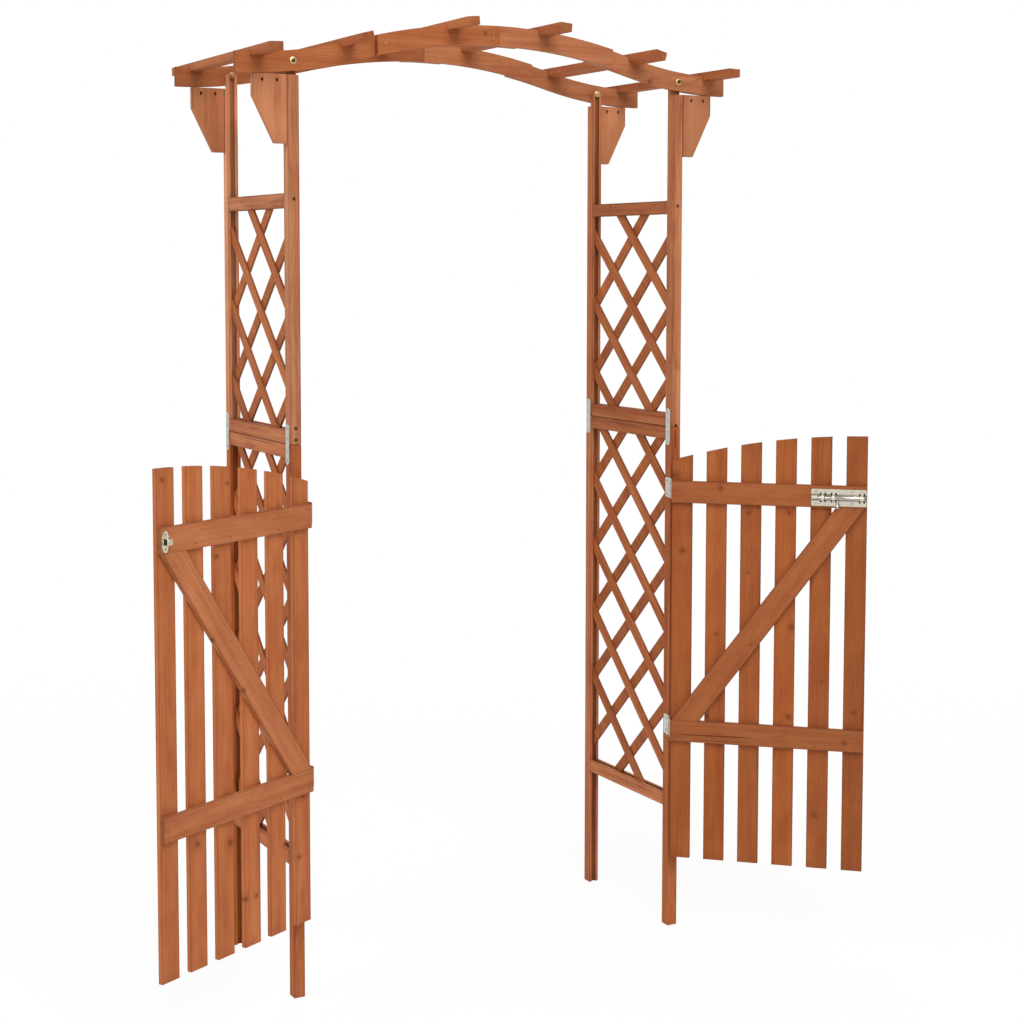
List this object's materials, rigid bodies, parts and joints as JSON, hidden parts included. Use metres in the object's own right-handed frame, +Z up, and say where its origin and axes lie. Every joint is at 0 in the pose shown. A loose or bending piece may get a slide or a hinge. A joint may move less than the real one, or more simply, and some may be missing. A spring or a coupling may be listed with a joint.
{
  "type": "garden arch with gate",
  "caption": "Wooden garden arch with lattice side panels, a curved slatted roof and hinged picket gate leaves held by a barrel bolt.",
  "frame": {"origin": "on the ground, at the middle of the box round the whole object with its gate leaves open as in the picture", "axes": "+Z up; -Y is the front, towards which the leaves open; +X to the right seen from the front"},
  "size_m": [1.6104, 0.825, 2.0482],
  "materials": {
    "post_wood": "stained softwood, satin",
    "rail_wood": "stained softwood, satin",
    "lattice_wood": "stained softwood, satin",
    "beam_wood": "stained softwood, satin",
    "slat_wood": "stained softwood, satin",
    "gate_wood": "stained softwood, satin",
    "zinc_plate": "zinc-plated sheet steel",
    "bolt_steel": "bright plated steel bar"
  },
  "bodies": {
    "arch": {"beam_back_left": "beam_wood", "beam_back_right": "beam_wood", "beam_front_left": "beam_wood", "beam_front_right": "beam_wood", "gusset_left_back": "beam_wood", "gusset_left_front": "beam_wood", "gusset_right_back": "beam_wood", "gusset_right_front": "beam_wood", "hinge_left_lower_post_plate": "zinc_plate", "hinge_left_upper_post_plate": "zinc_plate", "hinge_right_lower_post_plate": "zinc_plate", "hinge_right_upper_post_plate": "zinc_plate", "lattice_left_lower": "lattice_wood", "lattice_left_upper": "lattice_wood", "lattice_right_lower": "lattice_wood", "lattice_right_upper": "lattice_wood", "post_left_back_lower": "post_wood", "post_left_back_upper": "post_wood", "post_left_front_lower": "post_wood", "post_left_front_upper": "post_wood", "post_right_back_lower": "post_wood", "post_right_back_upper": "post_wood", "post_right_front_lower": "post_wood", "post_right_front_upper": "post_wood", "rail_left_bottom": "rail_wood", "rail_left_mid_lower": "rail_wood", "rail_left_mid_upper": "rail_wood", "rail_left_top": "rail_wood", "rail_right_bottom": "rail_wood", "rail_right_mid_lower": "rail_wood", "rail_right_mid_upper": "rail_wood", "rail_right_top": "rail_wood", "slat_1": "slat_wood", "slat_2": "slat_wood", "slat_3": "slat_wood", "slat_4": "slat_wood", "slat_5": "slat_wood", "slat_6": "slat_wood"},
    "right_gate": {"bolt_body": "zinc_plate", "gate_right_frame": "gate_wood", "gate_right_picket_1": "gate_wood", "gate_right_picket_2": "gate_wood", "gate_right_picket_3": "gate_wood", "gate_right_picket_4": "gate_wood", "gate_right_picket_5": "gate_wood", "gate_right_picket_6": "gate_wood", "hinge_right_lower_gate_plate": "zinc_plate", "hinge_right_upper_gate_plate": "zinc_plate"},
    "left_gate": {"bolt_keeper": "zinc_plate", "gate_left_frame": "gate_wood", "gate_left_picket_1": "gate_wood", "gate_left_picket_2": "gate_wood", "gate_left_picket_3": "gate_wood", "gate_left_picket_4": "gate_wood", "gate_left_picket_5": "gate_wood", "gate_left_picket_6": "gate_wood", "hinge_left_lower_gate_plate": "zinc_plate", "hinge_left_upper_gate_plate": "zinc_plate"},
    "bolt": {"bolt_bar": "bolt_steel"}
  },
  "joints": [
    {"name": "right_gate_hinge", "type": "hinge", "parent": "arch", "child": "right_gate", "pos_m": [0.48173, -0.08247, 0.75], "axis": [0, 0, 1], "range_deg": [-137, 35]},
    {"name": "left_gate_hinge", "type": "hinge", "parent": "arch", "child": "left_gate", "pos_m": [-0.41327, -0.08247, 0.75], "axis": [0, 0, -1], "range_deg": [-152, 20]},
    {"name": "bolt_slide", "type": "slide", "parent": "right_gate", "child": "bolt", "axis": [0.7314, -0.682, 0], "range_m": [0, 0.03]}
  ]
}
